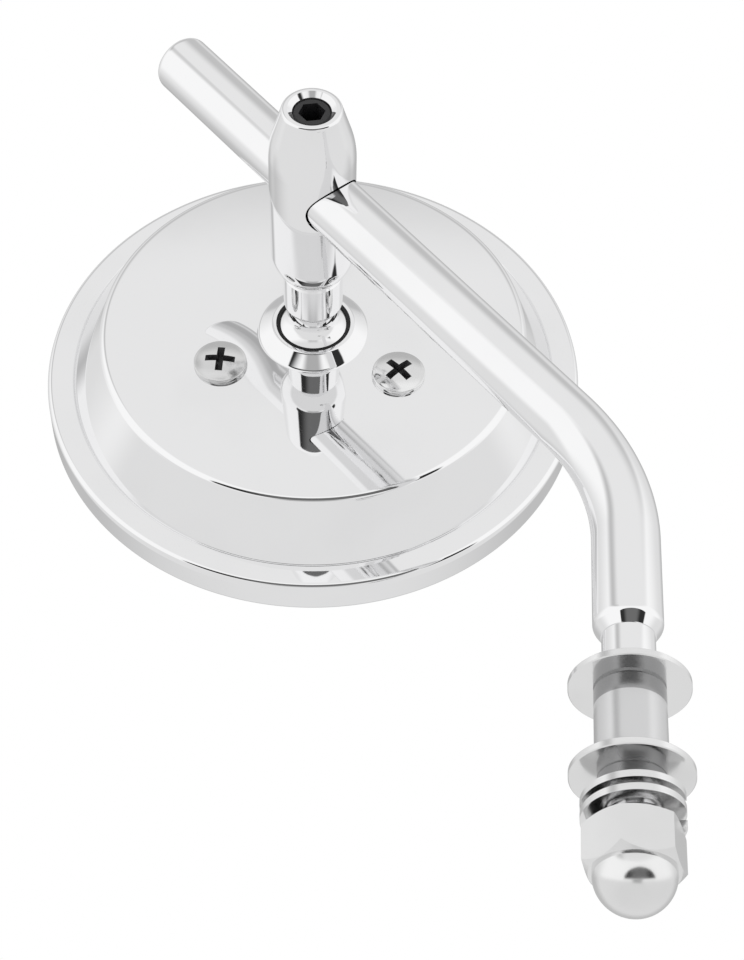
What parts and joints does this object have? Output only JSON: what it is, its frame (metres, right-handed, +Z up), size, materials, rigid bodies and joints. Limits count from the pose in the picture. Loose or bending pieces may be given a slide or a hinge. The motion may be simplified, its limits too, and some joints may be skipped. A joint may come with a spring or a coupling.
{
  "type": "motorcycle mirror",
  "caption": "Round chromed mirror on a bent bar with a sliding clamp barrel, a ball joint behind the glass and a threaded stud with washers, sleeves and a domed nut.",
  "frame": {"origin": "on the stud axis at the middle of the long sleeve that goes into the bracket hole", "axes": "+Z up the stud towards the bend, +X the way the bar leans out, -Y towards the rider, where the glass faces"},
  "size_m": [0.1086, 0.0809, 0.1918],
  "materials": {
    "chrome_bar": "bright plated, polished",
    "chrome_shell": "bright plated, polished",
    "chrome_hardware": "plated, slightly duller than the bar",
    "black_steel": "black oxide, satin",
    "black_nylon": "matt",
    "plain_steel": "zinc plated, dull",
    "black_rubber": "matt",
    "mirror_glass": "silvered glass"
  },
  "bodies": {
    "bush": {"upper_washer": "chrome_hardware", "long_sleeve": "chrome_hardware"},
    "stem": {"stem": "chrome_bar"},
    "nut_set": {"lower_washer": "chrome_hardware", "short_sleeve": "chrome_hardware", "lock_washer": "chrome_hardware", "acorn_nut": "chrome_hardware"},
    "clamp": {"clamp_barrel": "chrome_bar"},
    "set_screw": {"set_screw": "black_steel"},
    "ball_post": {"ball_stud": "chrome_bar"},
    "liner": {"ball_liner": "black_nylon"},
    "head": {"mirror_shell": "chrome_shell", "retainer_plate": "plain_steel", "retainer_screw_a": "chrome_hardware", "retainer_screw_b": "chrome_hardware", "retainer_screw_c": "chrome_hardware", "bezel_ring": "chrome_shell", "glass_gasket": "black_rubber", "mirror_glass": "mirror_glass"}
  },
  "joints": [
    {"name": "stem_swivel", "type": "hinge", "parent": "bush", "child": "stem", "pos_m": [0, 0, 0], "axis": [0, 0, 1], "range_deg": [-180, 180]},
    {"name": "nut_travel", "type": "slide", "parent": "stem", "child": "nut_set", "axis": [0, 0, -1], "range_m": [0, 0.06]},
    {"name": "clamp_slide", "type": "slide", "parent": "stem", "child": "clamp", "axis": [0.673, 0, 0.7396], "range_m": [-0.05, 0.03]},
    {"name": "set_screw_turn", "type": "hinge", "parent": "clamp", "child": "set_screw", "pos_m": [0.0535, 0, 0.10735], "axis": [0.0876, 0.993, -0.0797], "continuous": true},
    {"name": "head_turn", "type": "hinge", "parent": "clamp", "child": "ball_post", "pos_m": [0.0535, 0, 0.10735], "axis": [0.0876, 0.993, -0.0797], "range_deg": [-180, 180]},
    {"name": "head_tilt_x", "type": "hinge", "parent": "ball_post", "child": "liner", "pos_m": [0.04984, -0.04153, 0.11068], "axis": [0.673, 0, 0.7396], "range_deg": [-15, 15]},
    {"name": "head_tilt_y", "type": "hinge", "parent": "liner", "child": "head", "pos_m": [0.04984, -0.04153, 0.11068], "axis": [0.7344, -0.1184, -0.6683], "range_deg": [-15, 15]}
  ]
}
